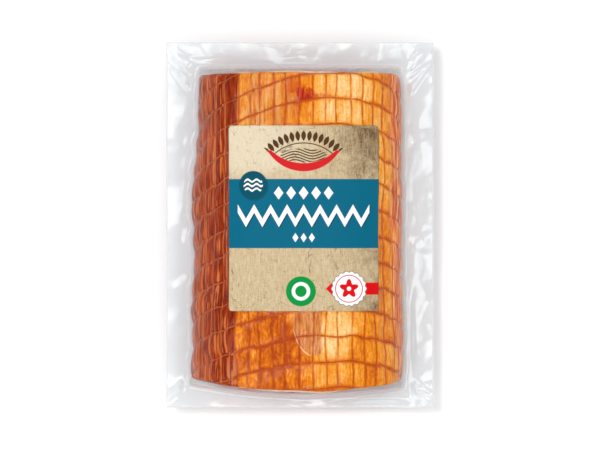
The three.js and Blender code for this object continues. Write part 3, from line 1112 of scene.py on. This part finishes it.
    # A round teal badge with three waves, on the band's upper edge.
    badge = (-28.3, 70.8)
    badge_shadow = s.disc(u, v, (badge[0] + 0.4, badge[1] - 0.6), 8.2, 0.5)
    lay(s.times(badge_shadow, 0.4), linear(0, 40, 52))
    lay(s.disc(u, v, badge, 7.9), linear(0, 74, 92))
    ripple = s.add(s.add(v, -badge[1]), s.times(s.math("SINE", s.times(u, 1.25)), 0.65))
    water = s.times(s.step(repeat(ripple, 2.5), 0.7, 0.45), s.band(ripple, -3.6, 3.6))
    water = s.times(water, s.disc(u, v, badge, 5.4))
    lay(water, white)

    # A green disc with a white ring, and a white rosette with a red flower on a red ribbon.
    green_at = (-1.5, 11.2)
    lay(s.disc(u, v, green_at, 8.4), linear(0, 138, 58))
    lay(s.band(s.distance(u, v, green_at), 3.2, 5.2), white)
    rosette = (25.5, 12.6)
    tail = s.times(s.absolute(s.add(v, -rosette[1])), -1.0)
    ribbon = s.times(s.step(s.add(u, tail), 12.3, 12.6), s.band(v, rosette[1] - 3.4, rosette[1] + 3.4))
    lay(ribbon, bright_red)
    far = s.distance(u, v, rosette)
    round_it = angle_about(rosette)
    scallop = s.times(s.math("COSINE", s.times(round_it, 18)), 0.35)
    lay(s.step(s.add(far, scallop), 10.0, 9.7), linear(120, 104, 88))
    lay(s.step(s.add(far, scallop), 9.6, 9.3), white)
    lay(s.band(far, 7.3, 7.8), red)
    petals = s.times(s.math("COSINE", s.times(round_it, 5)), 1.2)
    lay(s.step(s.add(far, s.times(petals, -1.0)), 4.4, 4.1), bright_red)
    lay(s.disc(u, v, rosette, 1.2), white)

    normal = s.bump(grain, 0.06, 0.5)
    shader = s.principled(Base_Color=paint, Roughness=0.5, Normal=normal, Specular_IOR_Level=0.12)
    return s.finish(shader)


def floor_material():
    s = Shader(bpy.data.materials.new("floor"))
    grain = s.noise(s.place(), 60, 2, 0.5)
    colour = s.blend(grain, linear(236, 236, 236), linear(240, 240, 240))
    return s.finish(s.principled(Base_Color=colour, Roughness=0.9))


# ---- Pieces ----

loin = build_loin()
loin.data.materials.append(meat_material())
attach(loin, "root")
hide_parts("smoked_loin")

film = film_material()
for name, node, side in (("front_web", "pouch_front_web", 1), ("back_web", "pouch_back_web", -1)):
    grid, free = build_web(side)
    web = sheet_object(name, grid, FILM_THICKNESS, side == -1, {"free": free})
    web.data.materials.append(film)
    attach(web, "root")
    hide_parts(node)

label = sheet_object("label", build_label(), LABEL_THICKNESS)
label.data.materials.append(label_material())
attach(label, "root")
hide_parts("front_label")


# ---- Floor, light and camera ----

bpy.ops.mesh.primitive_plane_add(size=40)
floor = bpy.context.active_object
floor.name = "floor"
floor.data.materials.append(floor_material())


def towards(azimuth, from_zenith):
    """Direction of a light: azimuth is clockwise from the head's side, seen from above."""
    tilt, turn = math.radians(from_zenith), math.radians(azimuth)
    return Vector((math.sin(tilt) * math.sin(turn), math.sin(tilt) * math.cos(turn), math.cos(tilt)))


def sun(name, azimuth, from_zenith, spread, strength):
    """A light from far off. The film mirrors the sky's soft boxes, and not the suns."""
    light = bpy.data.lights.new(name, "SUN")
    light.energy = strength
    light.angle = math.radians(spread)
    holder = bpy.data.objects.new(name, light)
    holder.visible_glossy = False
    holder.rotation_euler = towards(azimuth, from_zenith).to_track_quat("Z", "Y").to_euler()
    bpy.context.scene.collection.objects.link(holder)


# Azimuth, angle from the zenith, spread in degrees and strength of each.
sun("key", -58, 16, 11, 1.3)
sun("fill", 95, 28, 44, 0.3)
sun("foot", 190, 22, 44, 0.58)

# The studio: white at the horizon, grey overhead, with soft boxes: azimuth, angle from the
# zenith, radius in degrees and strength of each.
SKY_COLOUR = (0.95, 0.98, 1, 1)
BOX_EDGE = 5  # half the width of a box's soft edge, in degrees
SOFT_BOXES = (
    (-50, 23, 12, 2.1),
    (112, 22, 9, 1.9),
    (25, 26, 10, 1.9),
    (195, 25, 9, 2.2),
    (-110, 40, 12, 1.2),
)

world = bpy.data.worlds.new("studio")
sky = Shader(world)
direction = sky.node("ShaderNodeTexCoord").outputs["Generated"]
brightness = sky.step(sky.parts(direction)[2], 0.0, 0.4, 1.15, 0.30)
for azimuth, from_zenith, radius, strength in SOFT_BOXES:
    inputs = {0: direction, 1: towards(azimuth, from_zenith)}
    facing = sky.node("ShaderNodeVectorMath", inputs, operation="DOT_PRODUCT").outputs["Value"]
    outer = math.cos(math.radians(radius + BOX_EDGE))
    inner = math.cos(math.radians(radius - BOX_EDGE))
    brightness = sky.add(brightness, sky.step(facing, outer, inner, 0.0, strength))
sky.finish(sky.node("ShaderNodeBackground", {"Color": SKY_COLOUR, "Strength": brightness}))
bpy.context.scene.world = world

CAMERA_HEIGHT = 3.0
SENSOR_WIDTH = 36
POUCH_SHARE = 0.445  # of the view's width
FRAME_WIDTH = (POUCH_HIGH[0] - POUCH_LOW[0]) * MM / POUCH_SHARE  # what the view spans at the weld
camera_data = bpy.data.cameras.new("camera")
camera_data.sensor_width = SENSOR_WIDTH
camera_data.lens = SENSOR_WIDTH * (CAMERA_HEIGHT - WELD_Z * MM) / FRAME_WIDTH
camera_data.clip_end = 100
camera = bpy.data.objects.new("camera", camera_data)
camera.location = (0, 0, CAMERA_HEIGHT)
bpy.context.scene.collection.objects.link(camera)
bpy.context.scene.camera = camera
bpy.context.scene.view_settings.view_transform = "Standard"
bpy.context.scene.cycles.transparent_max_bounces = 32
